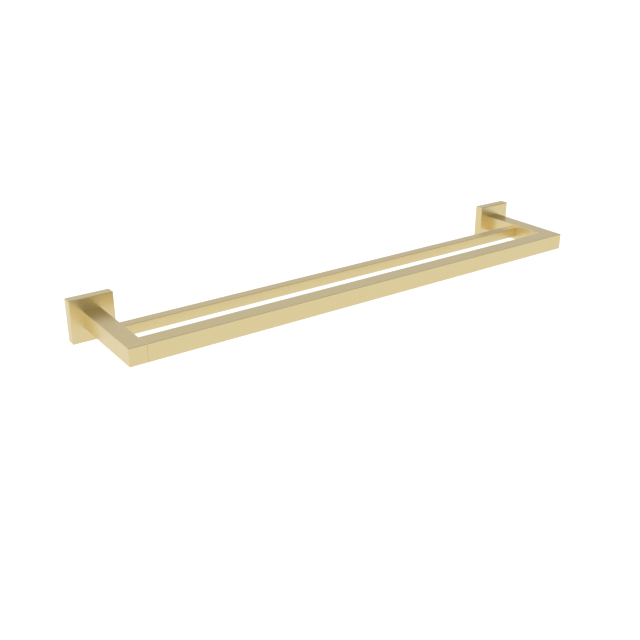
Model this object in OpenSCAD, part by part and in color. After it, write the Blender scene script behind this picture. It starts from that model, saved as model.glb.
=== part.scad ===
// Double towel rail with square section parts, millimetres, +Z up.
// Origin: on the wall plane, midway between the two wall plates, at the height of the arm axes.
// +X runs along the rails, +Y points into the wall, so the front of the rail faces -Y.

/* [Rail] */
// Distance between the axes of the two arms
mounting_centres = 600; // [400:10:800]
// Wall plane to the front face of the front bar
projection = 124; // [115:1:140]
// Section of the arms and of the front bar
bar_size = 20; // [18:1:24]
// Section of the rear bar
rear_bar_size = 12; // [12:1:14]
// Wall plane to the axis of the rear bar
rear_bar_from_wall = 56; // [48:1:62]
// Wall thickness of the front bar tube
front_tube_wall = 1.5; // [1.2:0.1:1.8]
// Wall thickness of the rear bar tube
rear_tube_wall = 1.2; // [1:0.1:1.3]
// Radius on the edges of the arms and bars
bar_edge_radius = 0.5; // [0.5:0.25:1]

/* [Wall plates] */
// Side of the square wall plate
plate_size = 50; // [48:1:60]
// Depth of the wall plate from the wall
plate_depth = 11; // [10.5:0.5:14]
// Thickness of the side walls of the wall plate
plate_side_wall = 2.5; // [2:0.1:3]
// Thickness of the front of the wall plate
plate_front_wall = 3; // [2.5:0.1:3]
// Radius on the edges of the wall plate
plate_edge_radius = 0.8; // [0.5:0.1:1.2]

/* [Wall brackets] */
// Thickness of the bracket inside each wall plate
bracket_thickness = 6; // [5.5:0.1:6.5]
// Vertical distance between the two wall screw holes of a bracket
bracket_hole_spacing = 28; // [27:0.5:29]
// Diameter of the wall screw holes
bracket_hole_diameter = 5; // [4.5:0.1:5.5]

/* [Hidden] */
// Curve resolution of small round features
round_fn = 48;
// Diametral room between a screw and its hole
screw_room = 0.1;
// Room on each side between a plug and the inside of its tube
plug_room = 0.1;
// Radius inside the corners of the two tubes
tube_inner_radius = 0.3;
// Overcut that keeps cutting shapes clear of the faces they open
cut = 1;

// Room between the bracket and the plate side walls, left and right
bracket_side_gap = 1.5;
// Room above and below the bracket, bridged below by the clamping screw
bracket_end_gap = 1.7;
// Opening in the bracket for the head of the arm screw
bracket_opening_diameter = 13;
// Wide end of the countersinks for the wall screws
countersink_diameter = 9.6;
// Depth of the countersinks
countersink_depth = 2.3;

// Arm screw, from inside the plate into the arm
arm_screw_diameter = 6;
arm_screw_grip = 14;
arm_head_diameter = 10.5;
arm_head_height = 3.3;
arm_head_socket = 4;
arm_socket_depth = 2.1;
arm_bore_extra = 2;
// Dowel that keeps the arm square on the plate
dowel_diameter = 3;
dowel_height = 6.8;
dowel_length = 7.5;
dowel_recess = 0.5;

// Clamping screw in the underside of the plate, its axis just in front of the bracket's middle
plate_screw_diameter = 4;
plate_screw_recess = 0.2;
plate_screw_socket = 2;
plate_socket_depth = 1.8;
plate_screw_offset = 0.2;
// Front plug and its screws
front_plug_length = 16;
front_plug_recess = 7;
front_screw_diameter = 5;
front_screw_grip = 11;
front_head_diameter = 8.5;
front_head_height = 5;
front_head_socket = 4;
front_socket_depth = 2.5;
front_grub_diameter = 4;
front_grub_length = 5;
front_grub_socket = 2;
front_grub_socket_depth = 2;
front_grub_from_arm = 5;
// Rear plug and its screws
rear_plug_length = 14;
rear_plug_recess = 6;
rear_screw_diameter = 4;
rear_screw_grip = 10;
rear_head_diameter = 7;
rear_head_height = 4;
rear_head_socket = 3;
rear_socket_depth = 2;
rear_grub_diameter = 3;
rear_grub_length = 3;
rear_grub_socket = 1.5;
rear_grub_socket_depth = 1.2;
rear_grub_from_arm = 4;
// Depth of every grub screw below the underside of its bar
grub_recess = 0.1;
// Room in the plug beyond the tip of a grub screw
grub_tip_room = 0.2;
// Diametral room around a screw head inside a plug
head_room = 0.4;
// Extra depth of the blind bores beyond the screw tips
bore_extra = 1;

// Derived positions
arm_x = mounting_centres / 2;
inner_x = arm_x - bar_size / 2;
front_bar_y = -projection + bar_size / 2;
rear_bar_y = -rear_bar_from_wall;
plate_inner = plate_size - 2 * plate_side_wall;
plate_hollow_depth = plate_depth - plate_front_wall;
bracket_width = plate_inner - 2 * bracket_side_gap;
bracket_height = plate_inner - 2 * bracket_end_gap;
plate_screw_y = -bracket_thickness / 2 - plate_screw_offset;
front_plug_size = bar_size - 2 * front_tube_wall - 2 * plug_room;
rear_plug_size = rear_bar_size - 2 * rear_tube_wall - 2 * plug_room;
steel = [0.72, 0.73, 0.75];
gold = [0.83, 0.74, 0.50];

SIDES = ["left", "right"];
SIDE_PARTS = [
    "arm", "wall_plate", "wall_bracket", "arm_screw", "arm_dowel", "plate_screw",
    "front_plug", "front_plug_screw", "front_grub_screw",
    "rear_plug", "rear_plug_screw", "rear_grub_screw"
];

// Rectangular outline with true round corners, centred on the origin
module rounded_rectangle(width, height, r) {
    square([width - 2 * r, height], center = true);
    square([width, height - 2 * r], center = true);
    for (sx = [-1, 1], sy = [-1, 1])
        translate([sx * (width / 2 - r), sy * (height / 2 - r)])
            circle(r = r, $fn = round_fn);
}

// Block along X with all its edges rounded, centred on the origin
module rounded_block(length, size, r) {
    intersection() {
        rotate([90, 0, 90])
            linear_extrude(height = length, center = true)
                rounded_rectangle(size, size, r);
        rotate([90, 0, 0])
            linear_extrude(height = size + 2 * cut, center = true)
                rounded_rectangle(length, size, r);
        linear_extrude(height = size + 2 * cut, center = true)
            rounded_rectangle(length, size, r);
    }
}

// Block towards the front, from wall_y to front_y, rounded everywhere but at its flat wall end
module block_from_wall(wall_y, front_y, size, r) {
    // The block starts behind its wall end, and the cube cuts its rounded back end off
    start_y = wall_y + 2 * r;
    intersection() {
        translate([0, (start_y + front_y) / 2, 0])
            rotate([0, 0, 90])
                rounded_block(start_y - front_y, size, r);
        translate([-size, front_y - cut, -size])
            cube([2 * size, wall_y - front_y + cut, 2 * size]);
    }
}

// Round rod from the wall side towards the front: starts at y, runs length along -Y
module rod_y(d, y, length) {
    translate([0, y, 0])
        rotate([90, 0, 0])
            cylinder(d = d, h = length, $fn = round_fn);
}

// Round rod along X on the positive side, from x0 to x1
module rod_x(d, x0, x1) {
    translate([x0, 0, 0])
        rotate([0, 90, 0])
            cylinder(d = d, h = x1 - x0, $fn = round_fn);
}

// Hexagonal socket of the given width across flats, along +Z from the origin
module hex_socket(flats, depth) {
    cylinder(d = flats / cos(30), h = depth, $fn = 6);
}

// Square tube along X, centred on the origin, rounded outside at its ends too
module square_tube(size, wall, length) {
    difference() {
        rounded_block(length, size, bar_edge_radius);
        rotate([90, 0, 90])
            linear_extrude(height = length + 2 * cut, center = true)
                rounded_rectangle(size - 2 * wall, size - 2 * wall, tube_inner_radius);
    }
}

// Shapes are drawn for the right-hand end, and mirrored for the left-hand one
module at_side(side) {
    if (side == "right")
        children();
    else
        mirror([1, 0, 0])
            children();
}

module front_bar() {
    color(gold)
        difference() {
            translate([0, front_bar_y, 0])
                square_tube(bar_size, front_tube_wall, 2 * inner_x);
            for (end = [-1, 1])
                translate([end * (inner_x - front_grub_from_arm), front_bar_y, -bar_size / 2 - cut])
                    cylinder(d = front_grub_diameter + screw_room, h = front_tube_wall + 2 * cut,
                             $fn = round_fn);
        }
}

module rear_bar() {
    color(gold)
        difference() {
            translate([0, rear_bar_y, 0])
                square_tube(rear_bar_size, rear_tube_wall, 2 * inner_x);
            for (end = [-1, 1])
                translate([end * (inner_x - rear_grub_from_arm), rear_bar_y, -rear_bar_size / 2 - cut])
                    cylinder(d = rear_grub_diameter + screw_room, h = rear_tube_wall + 2 * cut,
                             $fn = round_fn);
        }
}

// Solid square arm with four blind bores; it runs through to the front face of the rail
module arm(side) {
    color(gold)
        at_side(side)
            difference() {
                translate([arm_x, 0, 0])
                    block_from_wall(-plate_depth, -projection, bar_size, bar_edge_radius);
                translate([arm_x, 0, 0])
                    rod_y(arm_screw_diameter + screw_room, -plate_depth + cut,
                          arm_screw_grip + arm_bore_extra + cut);
                translate([arm_x, 0, dowel_height])
                    rod_y(dowel_diameter + screw_room, -plate_depth + cut,
                          dowel_length - plate_front_wall + dowel_recess + bore_extra + cut);
                translate([0, front_bar_y, 0])
                    rod_x(front_screw_diameter + screw_room, inner_x - cut,
                          inner_x + front_screw_grip + bore_extra);
                translate([0, rear_bar_y, 0])
                    rod_x(rear_screw_diameter + screw_room, inner_x - cut,
                          inner_x + rear_screw_grip + bore_extra);
            }
}

// Square cover, open towards the wall, that the arm is screwed to
module wall_plate(side) {
    color(gold)
        at_side(side)
            difference() {
                translate([arm_x, 0, 0])
                    block_from_wall(0, -plate_depth, plate_size, plate_edge_radius);
                translate([arm_x - plate_inner / 2, -plate_hollow_depth, -plate_inner / 2])
                    cube([plate_inner, plate_hollow_depth + cut, plate_inner]);
                translate([arm_x, 0, 0])
                    rod_y(arm_screw_diameter + screw_room, -plate_hollow_depth + cut,
                          plate_front_wall + 2 * cut);
                translate([arm_x, 0, dowel_height])
                    rod_y(dowel_diameter + screw_room, -plate_hollow_depth + cut,
                          plate_front_wall + 2 * cut);
                translate([arm_x, plate_screw_y, -plate_size / 2 - cut])
                    cylinder(d = plate_screw_diameter + screw_room, h = plate_side_wall + 2 * cut,
                             $fn = round_fn);
            }
}

// Steel block screwed flat to the wall; the wall plate slips over it
module wall_bracket(side) {
    color(steel)
        at_side(side)
            translate([arm_x, 0, 0])
                difference() {
                    translate([-bracket_width / 2, -bracket_thickness, -bracket_height / 2])
                        cube([bracket_width, bracket_thickness, bracket_height]);
                    rod_y(bracket_opening_diameter, cut, bracket_thickness + 2 * cut);
                    for (end = [-1, 1])
                        translate([0, 0, end * bracket_hole_spacing / 2]) {
                            rod_y(bracket_hole_diameter, cut, bracket_thickness + 2 * cut);
                            translate([0, -bracket_thickness + countersink_depth, 0])
                                rotate([90, 0, 0])
                                    cylinder(d1 = bracket_hole_diameter, d2 = countersink_diameter,
                                             h = countersink_depth, $fn = round_fn);
                        }
                }
}

// Cap screw from inside the plate into the end of the arm
module arm_screw(side) {
    color(steel)
        at_side(side)
            translate([arm_x, 0, 0])
                difference() {
                    union() {
                        rod_y(arm_screw_diameter, -plate_hollow_depth,
                              plate_front_wall + arm_screw_grip);
                        rod_y(arm_head_diameter, -plate_hollow_depth + arm_head_height,
                              arm_head_height);
                    }
                    translate([0, -plate_hollow_depth + arm_head_height + cut, 0])
                        rotate([90, 0, 0])
                            hex_socket(arm_head_socket, arm_socket_depth + cut);
                }
}

// Dowel between plate and arm, above the arm screw
module arm_dowel(side) {
    color(steel)
        at_side(side)
            translate([arm_x, 0, dowel_height])
                rod_y(dowel_diameter, -plate_hollow_depth - dowel_recess, dowel_length);
}

// Screw through the underside of the plate that bears on the bottom edge of the bracket
module plate_screw(side) {
    screw_length = (plate_size - bracket_height) / 2 - plate_screw_recess;
    color(steel)
        at_side(side)
            translate([arm_x, plate_screw_y, -plate_size / 2 + plate_screw_recess])
                difference() {
                    cylinder(d = plate_screw_diameter, h = screw_length, $fn = round_fn);
                    translate([0, 0, -cut])
                        hex_socket(plate_screw_socket, plate_socket_depth + cut);
                }
}

// Square plug on the inner face of an arm; a bar slides over it
module plug(bar_y, size, length, recess, shank_d, head_d, grub_d, grub_reach, grub_x) {
    difference() {
        translate([inner_x - length, bar_y - size / 2, -size / 2])
            cube([length, size, size]);
        translate([0, bar_y, 0]) {
            rod_x(shank_d + screw_room, inner_x - length - cut, inner_x + cut);
            rod_x(head_d + head_room, inner_x - length - cut, inner_x - length + recess);
        }
        translate([inner_x - grub_x, bar_y, -size / 2 - cut])
            cylinder(d = grub_d + screw_room, h = grub_reach + cut, $fn = round_fn);
    }
}

module front_plug(side) {
    grub_reach = grub_recess + front_grub_length + grub_tip_room - front_tube_wall - plug_room;
    color(steel)
        at_side(side)
            plug(front_bar_y, front_plug_size, front_plug_length, front_plug_recess,
                 front_screw_diameter, front_head_diameter, front_grub_diameter,
                 grub_reach, front_grub_from_arm);
}

module rear_plug(side) {
    grub_reach = grub_recess + rear_grub_length + grub_tip_room - rear_tube_wall - plug_room;
    color(steel)
        at_side(side)
            plug(rear_bar_y, rear_plug_size, rear_plug_length, rear_plug_recess,
                 rear_screw_diameter, rear_head_diameter, rear_grub_diameter,
                 grub_reach, rear_grub_from_arm);
}

// Socket head screw along +X with the underside of its head at seat_x
module cap_screw(seat_x, shank_d, tip_x, head_d, head_h, socket, socket_depth) {
    difference() {
        union() {
            rod_x(shank_d, seat_x, tip_x);
            rod_x(head_d, seat_x - head_h, seat_x);
        }
        translate([seat_x - head_h - cut, 0, 0])
            rotate([0, 90, 0])
                hex_socket(socket, socket_depth + cut);
    }
}

module front_plug_screw(side) {
    color(steel)
        at_side(side)
            translate([0, front_bar_y, 0])
                cap_screw(inner_x - front_plug_length + front_plug_recess, front_screw_diameter,
                          inner_x + front_screw_grip, front_head_diameter, front_head_height,
                          front_head_socket, front_socket_depth);
}

module rear_plug_screw(side) {
    color(steel)
        at_side(side)
            translate([0, rear_bar_y, 0])
                cap_screw(inner_x - rear_plug_length + rear_plug_recess, rear_screw_diameter,
                          inner_x + rear_screw_grip, rear_head_diameter, rear_head_height,
                          rear_head_socket, rear_socket_depth);
}

// Headless screw pointing up, its socket open at the underside
module grub_screw(d, length, socket, socket_depth) {
    difference() {
        cylinder(d = d, h = length, $fn = round_fn);
        translate([0, 0, -cut])
            hex_socket(socket, socket_depth + cut);
    }
}

module front_grub_screw(side) {
    color(steel)
        at_side(side)
            translate([inner_x - front_grub_from_arm, front_bar_y, -bar_size / 2 + grub_recess])
                grub_screw(front_grub_diameter, front_grub_length, front_grub_socket,
                           front_grub_socket_depth);
}

module rear_grub_screw(side) {
    color(steel)
        at_side(side)
            translate([inner_x - rear_grub_from_arm, rear_bar_y, -rear_bar_size / 2 + grub_recess])
                grub_screw(rear_grub_diameter, rear_grub_length, rear_grub_socket,
                           rear_grub_socket_depth);
}

front_bar();
rear_bar();
for (side = SIDES) {
    arm(side);
    wall_plate(side);
    wall_bracket(side);
    arm_screw(side);
    arm_dowel(side);
    plate_screw(side);
    front_plug(side);
    front_plug_screw(side);
    front_grub_screw(side);
    rear_plug(side);
    rear_plug_screw(side);
    rear_grub_screw(side);
}
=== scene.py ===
"""Looks for the double towel rail: brushed gold finish, studio light, floor and camera.

Everything is in metres in the CAD's frame: origin on the wall plane midway between the
wall plates, +X along the bars, +Y into the wall, +Z up.
"""

import math

import bpy
from mathutils import Matrix, Vector


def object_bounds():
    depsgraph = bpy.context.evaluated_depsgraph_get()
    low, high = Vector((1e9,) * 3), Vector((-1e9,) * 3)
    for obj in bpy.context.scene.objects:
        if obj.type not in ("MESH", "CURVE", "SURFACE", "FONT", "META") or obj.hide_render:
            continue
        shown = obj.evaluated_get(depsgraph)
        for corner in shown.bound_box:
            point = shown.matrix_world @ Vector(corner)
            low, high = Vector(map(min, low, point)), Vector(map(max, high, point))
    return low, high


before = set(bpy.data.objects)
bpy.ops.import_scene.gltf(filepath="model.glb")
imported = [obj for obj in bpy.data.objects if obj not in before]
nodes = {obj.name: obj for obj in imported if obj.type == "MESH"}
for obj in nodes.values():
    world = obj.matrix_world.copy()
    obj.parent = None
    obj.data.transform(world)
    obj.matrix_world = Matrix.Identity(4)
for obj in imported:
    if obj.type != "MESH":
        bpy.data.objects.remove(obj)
cad_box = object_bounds()

MM = 0.001

# Camera: heading is measured from +Y towards +X
CAMERA_PLACE = Vector((-0.6047, -0.8555, 0.3726))
CAMERA_HEADING = math.radians(35.45)
CAMERA_TILT_DOWN = math.radians(23.41)
CAMERA_ROLL = math.radians(0.05)
CAMERA_LENS_MM = 49.7
SENSOR_WIDTH_MM = 36.0
CAMERA_NEAR = 0.01
CAMERA_FAR = 200.0

# Gold: its two tones, its roughness, and the thin lacquer over it
GOLD_LIGHT = (0.865, 0.722, 0.392)
GOLD_DEEP = (0.839, 0.694, 0.362)
GOLD_ROUGHNESS = 0.31
LACQUER = 0.5
LACQUER_ROUGHNESS = 0.30
# Width and length of the brushing's fine scratches and of its wider streaks
SCRATCH_SIZE = (0.22 * MM, 22 * MM)
STREAK_SIZE = (1.6 * MM, 90 * MM)
SCRATCH_DEPTH = 0.008 * MM
SCRATCH_STRENGTH = 0.35
PATCHES_PER_METRE = 22.0
# Share of each noise in the gold's tone, and how far each moves its roughness up or down
TONE_SHARES = {"streaks": 0.4, "patches": 0.3, "scratches": 0.3}
ROUGHNESS_SPREADS = {"scratches": 0.045, "streaks": 0.02, "patches": 0.02}

# Steel of the fixings: its two tones, its roughness, its turning marks and its stains
STEEL_DARK = (0.42, 0.43, 0.45)
STEEL_LIGHT = (0.56, 0.57, 0.58)
STEEL_ROUGHNESS = 0.38
STEEL_MARK_SPREAD = 0.05
STEEL_STAIN_SPREAD = 0.06
STEEL_MARK_DEPTH = 0.01 * MM
STEEL_MARK_STRENGTH = 0.4
STEEL_MARKS_PER_METRE = (3000.0, 700.0, 3000.0)
STEEL_STAINS_PER_METRE = 160.0

# How strongly the finer detail of every noise shows
NOISE_ROUGHNESS = 0.55
# Most of a noise lies between these values
NOISE_LOW = 0.3
NOISE_HIGH = 0.7
# Shifts that keep the noises of one material apart
STREAK_SHIFT = (3.1, 7.7, 1.9)
PATCH_SHIFT = (5.3, 2.2, 8.4)
STAIN_SHIFT = (1.0, 4.0, 2.0)

# Axis that the brushing follows on each gold node; the other nodes are steel
GRAIN_AXIS = {
    "front_bar": "X",
    "rear_bar": "X",
    "left_arm": "Y",
    "right_arm": "Y",
    "left_wall_plate": "Z",
    "right_wall_plate": "Z",
}
# Axis that it follows instead on a node's end faces, by the axis it follows on the others
END_GRAIN_AXIS = {"X": "Z", "Y": "X", "Z": "X"}
# Part of a unit normal from which a face counts as looking along an axis
FACES_ALONG = 0.7

# Floor: far enough below a rail that hangs on a wall
FLOOR_DROP = 1.1
FLOOR_SIZE = 80.0
FLOOR_DARK = (0.49, 0.49, 0.49)
FLOOR_LIGHT = (0.51, 0.51, 0.51)
FLOOR_ROUGHNESS = 0.9
FLOOR_GRAINS_PER_METRE = 9.0
# Glow of the floor towards the camera, which shows it white, and towards the rail
FLOOR_GLOW_SEEN = 0.90
FLOOR_GLOW_REFLECTED = 0.60

# Brightness of the room above the floor: behind the rail, in front of it, and straight up
ROOM_BEHIND = 0.68
ROOM_FRONT = 0.38
ROOM_OVERHEAD = 0.50
# How much brighter the room is on the left than in the middle
ROOM_SLOPE = 0.10
# The room changes from front to back between these values of a direction's Y
ROOM_TURN_Y = (-0.35, 0.30)
# It changes to overhead between these values of a direction's Z
ROOM_TURN_Z = (0.45, 1.0)

SOFTBOX_PLACE = (-2.2, 2.4, 2.0)
SOFTBOX_TARGET = (0.0, 0.0, 0.0)
SOFTBOX_SIZE = (2.0, 1.2)
SOFTBOX_POWER = 6.0

# Sockets of Blender's Mix node, which share names and so go by number
MIX_FACTOR = 0
MIX_VECTORS = (4, 5)
MIX_VECTOR_RESULT = 1
MIX_COLOURS = (6, 7)
MIX_COLOUR_RESULT = 2


# ---------------------------------------------------------------- node helpers

class Tree:
    """A material's node tree with short calls for the nodes used here."""

    def __init__(self, name):
        self.material = bpy.data.materials.new(name)
        self.material.use_nodes = True
        self.tree = self.material.node_tree
        self.shader = self.tree.nodes["Principled BSDF"]

    def node(self, kind, **settings):
        made = self.tree.nodes.new(kind)
        for key, value in settings.items():
            setattr(made, key, value)
        return made

    def link(self, out, into):
        self.tree.links.new(out, into)

    def set_or_link(self, socket, value):
        """Sets a socket to a plain value, or links another node's output to it."""
        if isinstance(value, bpy.types.NodeSocket):
            self.link(value, socket)
        else:
            socket.default_value = value

    def noise(self, scale, detail, shift=(0.0, 0.0, 0.0)):
        """Noise with that many features in a metre along each axis."""
        mapping = self.node("ShaderNodeMapping")
        self.set_or_link(mapping.inputs["Scale"], scale)
        mapping.inputs["Location"].default_value = shift
        self.link(self.node("ShaderNodeTexCoord").outputs["Object"], mapping.inputs["Vector"])
        made = self.node("ShaderNodeTexNoise")
        made.inputs["Scale"].default_value = 1.0
        made.inputs["Detail"].default_value = detail
        made.inputs["Roughness"].default_value = NOISE_ROUGHNESS
        self.link(mapping.outputs["Vector"], made.inputs["Vector"])
        return made.outputs["Fac"]

    def remap(self, value, low, high, from_low=NOISE_LOW, from_high=NOISE_HIGH):
        """Carries a value to the range from low to high; it is a noise unless told otherwise."""
        ranged = self.node("ShaderNodeMapRange")
        ranged.inputs["From Min"].default_value = from_low
        ranged.inputs["From Max"].default_value = from_high
        ranged.inputs["To Min"].default_value = low
        ranged.inputs["To Max"].default_value = high
        self.link(value, ranged.inputs["Value"])
        return ranged.outputs["Result"]

    def spread(self, noise, reach):
        """The noise as an amount either way of zero."""
        return self.remap(noise, -reach, reach)

    def calculate(self, operation, first, second=0.0):
        made = self.node("ShaderNodeMath", operation=operation)
        self.set_or_link(made.inputs[0], first)
        self.set_or_link(made.inputs[1], second)
        return made.outputs["Value"]

    def total(self, values):
        result = values[0]
        for value in values[1:]:
            result = self.calculate("ADD", result, value)
        return result

    def mix_colours(self, factor, first, second):
        made = self.node("ShaderNodeMix", data_type="RGBA")
        for number, colour in zip(MIX_COLOURS, (first, second)):
            made.inputs[number].default_value = (*colour, 1.0)
        self.link(factor, made.inputs[MIX_FACTOR])
        return made.outputs[MIX_COLOUR_RESULT]

    def facing(self, axis):
        """1 where the surface looks along the axis, either way, and 0 elsewhere."""
        split = self.node("ShaderNodeSeparateXYZ")
        self.link(self.node("ShaderNodeTexCoord").outputs["Normal"], split.inputs["Vector"])
        return self.calculate("GREATER_THAN", self.calculate("ABSOLUTE", split.outputs[axis]),
                              FACES_ALONG)

    def grain_scale(self, ends, axis, end_axis, size):
        """Noise scale for scratches along the axis, and along end_axis where ends is 1."""
        width, length = size
        made = self.node("ShaderNodeMix", data_type="VECTOR")
        for number, along in zip(MIX_VECTORS, (axis, end_axis)):
            made.inputs[number].default_value = [1.0 / (length if name == along else width)
                                                 for name in "XYZ"]
        self.link(ends, made.inputs[MIX_FACTOR])
        return made.outputs[MIX_VECTOR_RESULT]

    def add_bump(self, height, strength, depth):
        bump = self.node("ShaderNodeBump")
        bump.inputs["Strength"].default_value = strength
        bump.inputs["Distance"].default_value = depth
        self.link(height, bump.inputs["Height"])
        self.link(bump.outputs["Normal"], self.shader.inputs["Normal"])


# ---------------------------------------------------------------- materials

def brushed_gold(axis, end_axis):
    """Satin gold with fine scratches along one axis, and along end_axis on the end faces."""
    tree = Tree("brushed_gold_" + axis.lower())
    ends = tree.facing(axis)
    noises = {
        "scratches": tree.noise(tree.grain_scale(ends, axis, end_axis, SCRATCH_SIZE), detail=2.0),
        "streaks": tree.noise(tree.grain_scale(ends, axis, end_axis, STREAK_SIZE), detail=3.0,
                              shift=STREAK_SHIFT),
        "patches": tree.noise([PATCHES_PER_METRE] * 3, detail=2.0, shift=PATCH_SHIFT),
    }
    tone = tree.total([tree.calculate("MULTIPLY", noises[name], share)
                       for name, share in TONE_SHARES.items()])
    tree.link(tree.mix_colours(tree.remap(tone, 0.0, 1.0), GOLD_DEEP, GOLD_LIGHT),
              tree.shader.inputs["Base Color"])
    spread = tree.total([tree.spread(noises[name], reach) for name, reach in ROUGHNESS_SPREADS.items()])
    tree.link(tree.calculate("ADD", spread, GOLD_ROUGHNESS), tree.shader.inputs["Roughness"])
    tree.add_bump(noises["scratches"], SCRATCH_STRENGTH, SCRATCH_DEPTH)
    tree.shader.inputs["Metallic"].default_value = 1.0
    tree.shader.inputs["Coat Weight"].default_value = LACQUER
    tree.shader.inputs["Coat Roughness"].default_value = LACQUER_ROUGHNESS
    return tree.material


def machined_steel():
    """Plain steel of the hidden fixings, with turning marks and faint stains."""
    tree = Tree("fixing_steel")
    marks = tree.noise(STEEL_MARKS_PER_METRE, detail=2.0)
    stains = tree.noise([STEEL_STAINS_PER_METRE] * 3, detail=4.0, shift=STAIN_SHIFT)
    tree.link(tree.mix_colours(tree.remap(stains, 0.0, 1.0), STEEL_DARK, STEEL_LIGHT),
              tree.shader.inputs["Base Color"])
    spread = tree.total([tree.spread(marks, STEEL_MARK_SPREAD), tree.spread(stains, STEEL_STAIN_SPREAD)])
    tree.link(tree.calculate("ADD", spread, STEEL_ROUGHNESS), tree.shader.inputs["Roughness"])
    tree.add_bump(marks, STEEL_MARK_STRENGTH, STEEL_MARK_DEPTH)
    tree.shader.inputs["Metallic"].default_value = 1.0
    return tree.material


def white_floor():
    """Pale matt floor whose glow makes it plain white to the camera."""
    tree = Tree("pale_floor")
    grain = tree.noise([FLOOR_GRAINS_PER_METRE] * 3, detail=4.0)
    tree.link(tree.mix_colours(tree.remap(grain, 0.0, 1.0), FLOOR_DARK, FLOOR_LIGHT),
              tree.shader.inputs["Base Color"])
    tree.shader.inputs["Roughness"].default_value = FLOOR_ROUGHNESS
    tree.shader.inputs["Specular IOR Level"].default_value = 0.0
    tree.shader.inputs["Emission Color"].default_value = (1.0, 1.0, 1.0, 1.0)
    rays = tree.node("ShaderNodeLightPath")
    tree.link(tree.remap(rays.outputs["Is Camera Ray"], FLOOR_GLOW_REFLECTED, FLOOR_GLOW_SEEN, 0.0, 1.0),
              tree.shader.inputs["Emission Strength"])
    return tree.material


# ---------------------------------------------------------------- pieces

def paint_nodes():
    gold = {axis: brushed_gold(axis, end_axis) for axis, end_axis in END_GRAIN_AXIS.items()}
    steel = machined_steel()
    for name, piece in nodes.items():
        piece.data.materials.clear()
        piece.data.materials.append(gold[GRAIN_AXIS[name]] if name in GRAIN_AXIS else steel)


# ---------------------------------------------------------------- camera, floor and light

def add_camera():
    heading, tilt = CAMERA_HEADING, CAMERA_TILT_DOWN
    ahead = Vector((math.sin(heading) * math.cos(tilt),
                    math.cos(heading) * math.cos(tilt),
                    -math.sin(tilt)))
    right = Vector((math.cos(heading), -math.sin(heading), 0.0))
    up = right.cross(ahead)
    turn = Matrix((right, up, -ahead)).transposed().to_4x4() @ Matrix.Rotation(CAMERA_ROLL, 4, "Z")
    camera = bpy.data.objects.new("camera", bpy.data.cameras.new("camera"))
    camera.data.lens = CAMERA_LENS_MM
    camera.data.sensor_width = SENSOR_WIDTH_MM
    camera.data.clip_start = CAMERA_NEAR
    camera.data.clip_end = CAMERA_FAR
    camera.matrix_world = Matrix.Translation(CAMERA_PLACE) @ turn
    bpy.context.scene.collection.objects.link(camera)
    bpy.context.scene.camera = camera


def add_floor():
    half = FLOOR_SIZE / 2
    mesh = bpy.data.meshes.new("floor")
    mesh.from_pydata([(-half, -half, 0), (half, -half, 0), (half, half, 0), (-half, half, 0)],
                     [], [(0, 1, 2, 3)])
    floor = bpy.data.objects.new("floor", mesh)
    floor.location.z = cad_box[0][2] - FLOOR_DROP
    floor.data.materials.append(white_floor())
    bpy.context.scene.collection.objects.link(floor)


def add_room():
    """White to the camera, and a soft room that is darker in front for light and reflections."""
    world = bpy.data.worlds.new("studio")
    bpy.context.scene.world = world
    world.use_nodes = True
    tree = world.node_tree
    tree.nodes.clear()
    link = tree.links.new

    def ranged(value, turn, low, high):
        """Carries a direction's value over the turn to a brightness, from low to high."""
        made = tree.nodes.new("ShaderNodeMapRange")
        made.interpolation_type = "SMOOTHSTEP"
        made.inputs["From Min"].default_value = turn[0]
        made.inputs["From Max"].default_value = turn[1]
        for socket, brightness in ((made.inputs["To Min"], low), (made.inputs["To Max"], high)):
            if isinstance(brightness, float):
                socket.default_value = brightness
            else:
                link(brightness, socket)
        link(value, made.inputs["Value"])
        return made.outputs["Result"]

    direction = tree.nodes.new("ShaderNodeTexCoord")
    split = tree.nodes.new("ShaderNodeSeparateXYZ")
    link(direction.outputs["Generated"], split.inputs["Vector"])
    around = ranged(split.outputs["Y"], ROOM_TURN_Y, ROOM_FRONT, ROOM_BEHIND)
    level = ranged(split.outputs["Z"], ROOM_TURN_Z, around, ROOM_OVERHEAD)
    side = tree.nodes.new("ShaderNodeMath")
    side.operation = "MULTIPLY_ADD"
    side.inputs[1].default_value = -ROOM_SLOPE
    link(split.outputs["X"], side.inputs[0])
    link(level, side.inputs[2])

    room = tree.nodes.new("ShaderNodeBackground")
    white = tree.nodes.new("ShaderNodeBackground")
    for background in (room, white):
        background.inputs["Color"].default_value = (1.0, 1.0, 1.0, 1.0)
    link(side.outputs[0], room.inputs["Strength"])
    rays = tree.nodes.new("ShaderNodeLightPath")
    chosen = tree.nodes.new("ShaderNodeMixShader")
    output = tree.nodes.new("ShaderNodeOutputWorld")
    link(rays.outputs["Is Camera Ray"], chosen.inputs[0])
    link(room.outputs[0], chosen.inputs[1])
    link(white.outputs[0], chosen.inputs[2])
    link(chosen.outputs[0], output.inputs["Surface"])


def add_softbox():
    light = bpy.data.lights.new("softbox_left", "AREA")
    light.shape = "RECTANGLE"
    light.size, light.size_y = SOFTBOX_SIZE
    light.energy = SOFTBOX_POWER
    holder = bpy.data.objects.new("softbox_left", light)
    holder.location = SOFTBOX_PLACE
    aim = Vector(SOFTBOX_TARGET) - Vector(SOFTBOX_PLACE)
    holder.rotation_euler = aim.to_track_quat("-Z", "Y").to_euler()
    bpy.context.scene.collection.objects.link(holder)


paint_nodes()
add_camera()
add_floor()
add_room()
add_softbox()
bpy.context.scene.view_settings.view_transform = "Standard"
